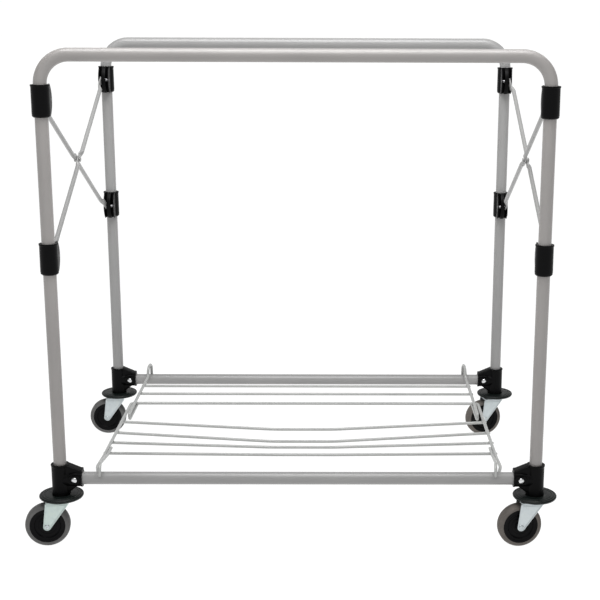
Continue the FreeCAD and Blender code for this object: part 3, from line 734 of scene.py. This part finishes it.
def forkOutline():
    # a tapering cheek: straight sides running tangent into the round boss at the axle
    c = casterShape
    t, r, top = c["trail"], c["bossRadius"], c["crown"]
    backX, frontX = c["crownBack"], c["crownFront"]
    swing = np.radians(np.linspace(-34.3, -188.9, 25))
    boss = np.column_stack([-t + r * np.cos(swing), c["radius"] + r * np.sin(swing)])
    front = np.linspace((frontX, top - 0.0045), boss[0], 14)[:-1]
    back = np.linspace(boss[-1], (backX, top), 14)[1:]
    roof = np.linspace((backX, top), (frontX, top), 14)[1:]
    return np.concatenate([roof, front, boss, back])[:-1]


def forkParts():
    c = casterShape
    inner, outer, top = c["inside"], c["inside"] + c["plate"], c["crown"]
    backX, frontX = c["crownBack"], c["crownFront"]
    cheek = plate(forkOutline(), -outer, -inner, c["edge"], "y")
    # a pressed border stands a little proud of the cheek, inside its edge
    rim = outlineInset(forkOutline(), c["rimInset"])
    border = np.column_stack([rim[:, 0], np.full(len(rim), -outer - 0.00005), rim[:, 1]])
    steps = circle(10)
    run = np.roll(border, -1, 0) - np.roll(border, 1, 0)
    run /= np.linalg.norm(run, axis=1)[:, None]
    side = np.cross(run, (0, 1, 0))
    ring = (np.cos(steps)[None, :, None] * side[:, None] * 0.0010
            + np.sin(steps)[None, :, None] * np.array([0, 1, 0]) * 0.0006)
    bead = shell(border[:, None] + ring, True, True)
    crown = plate(rounded([(backX, -outer), (frontX, -outer), (frontX, outer), (backX, outer)], 0.004, 6),
                  top - c["plate"], top, 0.0005, "z")
    cap = turned([(0.0052, top - 0.002), (0.0158, top - 0.002), (0.0161, top - 0.0012), (0.0150, top),
                  (0.0052, top)], 0.0004, "z", 64)
    folds = []
    foldStart = backX + 0.0013
    for low, reach in ((0.0028, 0.0375), (0.0052, 0.0335)):
        height = top - low - 0.0015
        line = np.linspace((foldStart + low * 0.12, -outer, height), (foldStart + reach, -outer, height), 6)
        folds.append(tube(line, c["foldRadius"], (0, 1, 0), 8, True))
    oneSide = [cheek, bead] + folds
    return oneSide + [mirrored(p, "y") for p in oneSide] + [crown, cap]


def axlePart():
    c = casterShape
    out = c["inside"] + c["plate"]
    profile = np.array([(1e-5, 0.0004), (0.0013, 0.0005), (0.0018, 0.0013), (0.0030, 0.0015),
                        (0.0039, 0.0011), (0.0045, 0.0002), (0.0036, 0.0)]) + (0, out)
    return turnedSolid(np.concatenate([profile * (1, -1), profile[::-1]]), "y", 40)


def wheelParts():
    c = casterShape
    r, h = c["radius"], c["halfWidth"]
    # each half of a profile is mirrored in the wheel's middle plane
    half = [(r - 0.00012, 0.0), (r, 0.0004), (r, h - 0.0068), (r - 0.0009, h - 0.0036),
            (r - 0.0026, h - 0.0012), (r - 0.0048, h), (0.0312, h), (0.0302, h - 0.0006)]
    tyre = turned([(a, -b) for a, b in half[:0:-1]] + half, 0.0006, "y", 160, 3)
    half = [(0.00405, 0.0), (0.00405, 0.0127), (0.0082, 0.0127), (0.0093, 0.0118), (0.0100, 0.0088),
            (0.0112, 0.0082), (0.0150, 0.0080), (0.0156, 0.0085), (0.0163, 0.0085), (0.0169, 0.0079),
            (0.0212, 0.0077), (0.0226, 0.0090), (0.0232, 0.0099), (0.0262, 0.0100), (0.0268, 0.0105),
            (0.0288, 0.0106), (0.0297, 0.0111), (0.0308, 0.0109), (0.0308, 0.0)]
    full = half + [(a, -b) for a, b in half[::-1][1:-1]]
    hub = turned(full, 0.0004, "y", 160, 2)
    return tyre, hub


tyre, hub = wheelParts()
for end, _ in frames:
    for side, _ in sides:
        name = f"{end}_{side}"
        leg = centre(f"{name}_leg")
        turn = casterShape["turn"][name]
        spot = (leg[0], leg[1], 0)
        back, trail = math.radians(turn), casterShape["trail"]
        axleSpot = (leg[0] - trail * math.cos(back), leg[1] - trail * math.sin(back), casterShape["radius"])
        rubber = finishes["tyreWarm" if side == "right" else "tyre"]
        plating = finishes["greenZinc" if name == "front_left" else "zinc"]
        makePiece(f"{name}_fork_pressing", [moved(p, spot, turn) for p in forkParts()], plating,
                  f"{name}_caster", [f"{name}_fork"], 40)
        makePiece(f"{name}_axle_steel", [moved(axlePart(), axleSpot, turn)], finishes["zinc"],
                  f"{name}_caster", [f"{name}_axle"])
        makePiece(f"{name}_tyre_rubber", [moved(tyre, axleSpot, turn)], rubber,
                  f"{name}_wheel", [f"{name}_tyre"], 45)
        makePiece(f"{name}_hub_moulding", [moved(hub, axleSpot, turn)], finishes["hub"],
                  f"{name}_wheel", [f"{name}_hub"], 30)
print("casters made")


# wire shelf

shelfShape = {
    "rail": 0.0030,
    "cross": 0.0028,
    "hook": 0.0027,
    "frontX": 0.358,
    "rearX": 0.348,
    "frontZ": 0.1265,
    "rearZ": 0.1329,
    "hingeY": 0.114,
    "tailY": 0.030,
    "peak": 0.155,
    "reach": 0.0155,
    "overhang": 0.004,
    "weld": (0.0034, 0.0036, 0.0022),
    "flatHalf": 0.060,
    "bowBend": 0.62,
    "frontWires": ((0.0135, 0.0154), (-0.050, 0.0177), (-0.106, 0.0089), (-0.163, 0.0026)),
    "rearWires": (0.1755, 0.230),
}


def weldPart(spot, size):
    # a small blob of weld, an ellipsoid flattened between the wires
    a = np.linspace(0.02, math.pi - 0.02, 9)
    profile = np.column_stack([np.sin(a), -np.cos(a)])
    verts, faces = turnedSolid(profile, "z", 12)
    return verts * size + spot, faces


s = shelfShape
bar = centre("rear_crossbar")[1]
middle = centre("front_crossbar")[0]
drop = s["rail"] + s["cross"]
endY = -bar + s["reach"]


def shelfWire(path, radius, across, count):
    return tube(path + (middle, 0, 0), radius, across, count, True)


def weldedWire(path, y, railX, railZ):
    # a cross wire and its weld under the rail at each end
    welds = [weldPart(np.array((middle + way * railX, y, railZ - s["rail"])), s["weld"]) for way in (-1, 1)]
    return [shelfWire(path, s["cross"], (0, 1, 0), 20)] + welds


def makeWires(kind, node, parts):
    half = "_".join(kind.split("_")[:2])
    makePiece(kind, parts, finishes["wire"], half, [node])


halfFrame = np.array([
    (s["frontX"], s["hingeY"], s["frontZ"]), (s["frontX"], endY + 0.080, s["frontZ"]),
    (s["frontX"] + 0.002, endY + 0.032, s["frontZ"]), (s["frontX"] - 0.005, endY, s["frontZ"]),
])
path = bentPath(np.concatenate([halfFrame[::-1] * (-1, 1, 1), halfFrame]),
                (0.060, 0.090, 0.009, 0.009, 0.090, 0.060))
makeWires("shelf_front_frame_wire", "shelf_front_frame", [shelfWire(path, s["rail"], (0, 0, 1), 24)])

wires = []
reach = s["frontX"] + s["overhang"]
level = s["frontZ"] - drop
for y, bow in s["frontWires"]:
    points = [(-reach, y, level), (-s["flatHalf"], y, level - bow), (s["flatHalf"], y, level - bow),
              (reach, y, level)]
    wires += weldedWire(bentPath(points, [s["bowBend"]] * 2, 0.004), y, s["frontX"], s["frontZ"])
makeWires("shelf_front_cross_wires", "shelf_front_wires", wires)

hooks = []
inner = s["frontX"] - s["rail"] - s["hook"] - 0.0001
for way in (-1, 1):
    points = np.array([
        (inner, -0.150, s["frontZ"]), (inner, -0.185, s["frontZ"]),
        (inner - 0.0045, endY + 0.002, s["peak"] - 0.010), (inner - 0.0075, -bar, s["peak"] - 0.003),
        (inner - 0.009, -bar - s["reach"], s["peak"] - 0.007),
        (inner - 0.0085, -bar - s["reach"], s["frontZ"] + 0.008),
    ]) * (way, 1, 1)
    hooks.append(shelfWire(bentPath(points, (0.020, 0.012, 0.009, 0.008)), s["hook"], (1, 0, 0), 24))
makeWires("shelf_front_hook_wires", "shelf_front_hooks", hooks)

rails = []
x, gap = s["rearX"], s["rearZ"] - s["frontZ"]
low, near, far = s["frontZ"] - gap, bar - s["reach"], bar + s["reach"]
for way in (-1, 1):
    points = np.array([
        (x, s["hingeY"] + 0.016, low), (x, s["tailY"], low), (x, s["tailY"], s["rearZ"]),
        (x, near, s["rearZ"]), (x - 0.001, near, s["peak"]),
        (x - 0.0035, far, s["peak"]), (x - 0.0035, far, s["rearZ"] - 0.003),
    ]) * (way, 1, 1)
    path = bentPath(points, (gap - 0.0002, gap - 0.0002, 0.007, 0.013, 0.013))
    rails.append(shelfWire(path, s["rail"], (1, 0, 0), 24))
makeWires("shelf_rear_rail_wires", "shelf_rear_rails", rails)

wires = []
reach = s["rearX"] + s["overhang"]
level = s["rearZ"] - drop
for y in s["rearWires"]:
    line = np.linspace((-reach, y, level), (reach, y, level), 12)
    wires += weldedWire(line, y, s["rearX"], s["rearZ"])
makeWires("shelf_rear_cross_wires", "shelf_rear_wires", wires)
print("shelf made")


# floor, light and camera

studio = {
    "floorSize": 60.0,
    "floorColour": (0.10, 0.10, 0.10),
    "floorGlow": 0.98,
    "skyStrength": 1.02,
    "sideStrength": 0.05,
    "topStrength": 0.55,
}

size = studio["floorSize"] / 2
floorMesh = bpy.data.meshes.new("floor")
floorMesh.from_pydata([(-size, -size, 0), (size, -size, 0), (size, size, 0), (-size, size, 0)], [],
                      [(0, 1, 2, 3)])
floor = bpy.data.objects.new("floor", floorMesh)
bpy.context.scene.collection.objects.link(floor)
floorFinish, nodes, links, shader = newFinish("pale studio floor")
mottle = addNoise(nodes, links, 2.0, 3.0)
tone = np.array(studio["floorColour"])
links.new(addRamp(nodes, links, mottle, [(0.3, tone * 0.99), (0.7, tone)]), shader.inputs["Base Color"])
shader.inputs["Roughness"].default_value = 0.9
shader.inputs["Specular IOR Level"].default_value = 0.1
shader.inputs["Emission Color"].default_value = (1, 1, 1, 1)
shader.inputs["Emission Strength"].default_value = studio["floorGlow"]
floorMesh.materials.append(floorFinish)

# a white horizon all round, dimmer aloft and darkest to the left and right
world = bpy.data.worlds.new("studio")
world.use_nodes = True
nodes, links = world.node_tree.nodes, world.node_tree.links
background = nodes["Background"]
background.inputs["Color"].default_value = (1, 1, 1, 1)
heading = nodes.new("ShaderNodeTexCoord")
apart = nodes.new("ShaderNodeSeparateXYZ")
links.new(heading.outputs["Generated"], apart.inputs[0])
sideways = nodes.new("ShaderNodeMath")
sideways.operation = "ABSOLUTE"
links.new(apart.outputs["X"], sideways.inputs[0])
aloft = addRange(nodes, links, sideways.outputs[0], studio["topStrength"], studio["sideStrength"], 0.38, 0.80)
climb = addRange(nodes, links, apart.outputs["Z"], studio["skyStrength"], 0.0, 0.06, 0.22)
links.new(aloft, climb.node.inputs["To Max"])
links.new(climb, background.inputs["Strength"])
bpy.context.scene.world = world


def softLight(name, spot, target, size, power):
    lamp = bpy.data.lights.new(name, "AREA")
    lamp.shape = "RECTANGLE"
    lamp.size, lamp.size_y = size
    lamp.energy = power
    holder = bpy.data.objects.new(name, lamp)
    bpy.context.scene.collection.objects.link(holder)
    aim = np.array(target, float) - spot
    back = -aim / np.linalg.norm(aim)
    right = np.cross((0, 0, 1) if abs(back[2]) < 0.99 else (0, 1, 0), back)
    right /= np.linalg.norm(right)
    up = np.cross(back, right)
    spin = Matrix(np.column_stack([right, up, back]).tolist()).to_4x4()
    holder.matrix_world = Matrix.Translation(spot) @ spin


softLight("overhead", (0.0, -0.4, 2.15), (0.0, 0.0, 0.4), (1.8, 1.0), 38)
softLight("key", (0.0, -1.5, 2.3), (0.0, 0.0, 0.5), (0.8, 0.8), 9)

view = {
    "spot": (0.0724 + middle, -2.3362, 0.9352),
    "down": 13.507,
    "yaw": 0.394,
    "roll": 0.218,
    "lens": 74.616,
    "shiftX": -0.0806,
}
down, yaw, roll = (math.radians(view[k]) for k in ("down", "yaw", "roll"))
ahead = np.array([math.sin(yaw) * math.cos(down), math.cos(yaw) * math.cos(down), -math.sin(down)])
right = np.cross(ahead, (0, 0, 1))
right /= np.linalg.norm(right)
up = np.cross(right, ahead)
rightRolled = math.cos(roll) * right + math.sin(roll) * up
upRolled = np.cross(rightRolled, ahead)
lens = bpy.data.cameras.new("camera")
lens.lens = view["lens"]
lens.sensor_width = 36.0
lens.shift_x = view["shiftX"]
camera = bpy.data.objects.new("camera", lens)
bpy.context.scene.collection.objects.link(camera)
camera.matrix_world = (Matrix.Translation(view["spot"])
                       @ Matrix(np.column_stack([rightRolled, upRolled, -ahead]).tolist()).to_4x4())
bpy.context.scene.camera = camera
bpy.context.scene.view_settings.view_transform = "Standard"
print("studio made")
